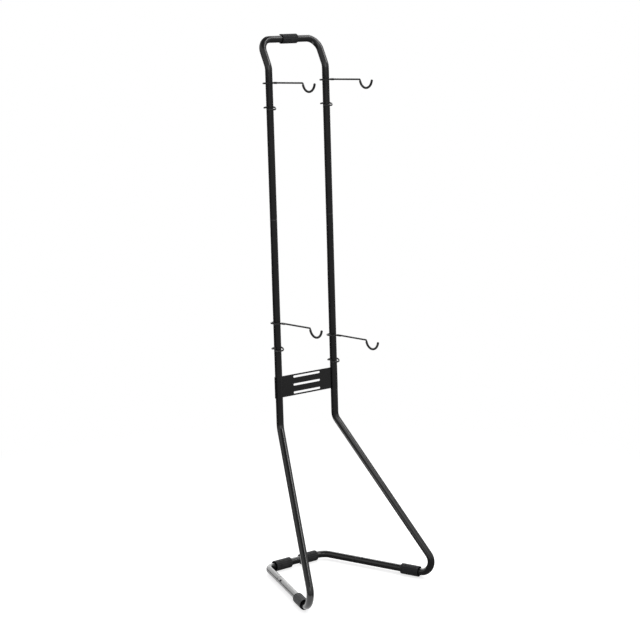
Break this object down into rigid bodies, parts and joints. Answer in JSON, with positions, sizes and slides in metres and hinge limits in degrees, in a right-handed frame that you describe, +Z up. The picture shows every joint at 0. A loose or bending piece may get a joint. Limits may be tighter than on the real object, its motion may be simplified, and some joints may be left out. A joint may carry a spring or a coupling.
{
  "type": "freestanding bike stand",
  "caption": "Freestanding bike stand: a bent steel tube frame that leans on a wall, with wire arms that slide and swivel on its uprights and end in covered hooks.",
  "frame": {"origin": "on the floor, under the middle of the stand", "axes": "+Z up, +Y towards the wall that it leans on, -Y the front, where the arms point, +X to the right seen from the front"},
  "size_m": [0.5812, 0.4845, 1.9115],
  "materials": {
    "powder_coat": "satin black powder coat on steel tube and sheet",
    "wire_coat": "satin black powder coat on steel wire",
    "vinyl": "black vinyl, slightly soft",
    "rubber": "matte black rubber",
    "screws": "black oxide steel",
    "nuts": "zinc plated steel"
  },
  "bodies": {
    "frame": {"upper_tube": "powder_coat", "left_leg_tube": "powder_coat", "right_leg_tube": "powder_coat", "rear_base_tube": "powder_coat", "crossbar_plate": "powder_coat", "front_left_foot_sleeve": "rubber", "front_right_foot_sleeve": "rubber", "rear_left_foot_sleeve": "rubber", "rear_right_foot_sleeve": "rubber", "wall_bumper_sleeve": "rubber", "left_upright_joint_screw": "screws", "right_upright_joint_screw": "screws", "left_base_joint_screw": "screws", "right_base_joint_screw": "screws", "left_lower_plate_screw": "screws", "left_upper_plate_screw": "screws", "right_lower_plate_screw": "screws", "right_upper_plate_screw": "screws", "left_upright_joint_nut": "nuts", "right_upright_joint_nut": "nuts", "left_base_joint_nut": "nuts", "right_base_joint_nut": "nuts", "left_lower_plate_nut": "nuts", "left_upper_plate_nut": "nuts", "right_lower_plate_nut": "nuts", "right_upper_plate_nut": "nuts"},
    "upper_left_ring": {"upper_left_arm_ring": "wire_coat"},
    "upper_left_arm": {"upper_left_arm_bracket": "wire_coat", "upper_left_arm_wire": "wire_coat", "upper_left_hook_cover": "vinyl"},
    "upper_right_ring": {"upper_right_arm_ring": "wire_coat"},
    "upper_right_arm": {"upper_right_arm_bracket": "wire_coat", "upper_right_arm_wire": "wire_coat", "upper_right_hook_cover": "vinyl"},
    "lower_left_ring": {"lower_left_arm_ring": "wire_coat"},
    "lower_left_arm": {"lower_left_arm_bracket": "wire_coat", "lower_left_arm_wire": "wire_coat", "lower_left_hook_cover": "vinyl"},
    "lower_right_ring": {"lower_right_arm_ring": "wire_coat"},
    "lower_right_arm": {"lower_right_arm_bracket": "wire_coat", "lower_right_arm_wire": "wire_coat", "lower_right_hook_cover": "vinyl"}
  },
  "joints": [
    {"name": "upper_left_slide", "type": "slide", "parent": "frame", "child": "upper_left_ring", "axis": [0, 0.0445, 0.999], "range_m": [-0.34, 0.03]},
    {"name": "upper_left_swivel", "type": "hinge", "parent": "upper_left_ring", "child": "upper_left_arm", "pos_m": [-0.1254, 0.17376, 1.7512], "axis": [0, 0.0445, 0.999], "range_deg": [-90, 25]},
    {"name": "upper_right_slide", "type": "slide", "parent": "frame", "child": "upper_right_ring", "axis": [0, 0.0445, 0.999], "range_m": [-0.34, 0.03]},
    {"name": "upper_right_swivel", "type": "hinge", "parent": "upper_right_ring", "child": "upper_right_arm", "pos_m": [0.1254, 0.17388, 1.7538], "axis": [0, 0.0445, 0.999], "range_deg": [-25, 90]},
    {"name": "lower_left_slide", "type": "slide", "parent": "frame", "child": "lower_left_ring", "axis": [0, 0.0445, 0.999], "range_m": [-0.088, 0.33]},
    {"name": "lower_left_swivel", "type": "hinge", "parent": "lower_left_ring", "child": "lower_left_arm", "pos_m": [-0.1254, 0.13702, 0.9265], "axis": [0, 0.0445, 0.999], "range_deg": [-90, 25]},
    {"name": "lower_right_slide", "type": "slide", "parent": "frame", "child": "lower_right_ring", "axis": [0, 0.0445, 0.999], "range_m": [-0.014, 0.4]},
    {"name": "lower_right_swivel", "type": "hinge", "parent": "lower_right_ring", "child": "lower_right_arm", "pos_m": [0.1254, 0.13373, 0.8526], "axis": [0, 0.0445, 0.999], "range_deg": [-25, 90]}
  ]
}
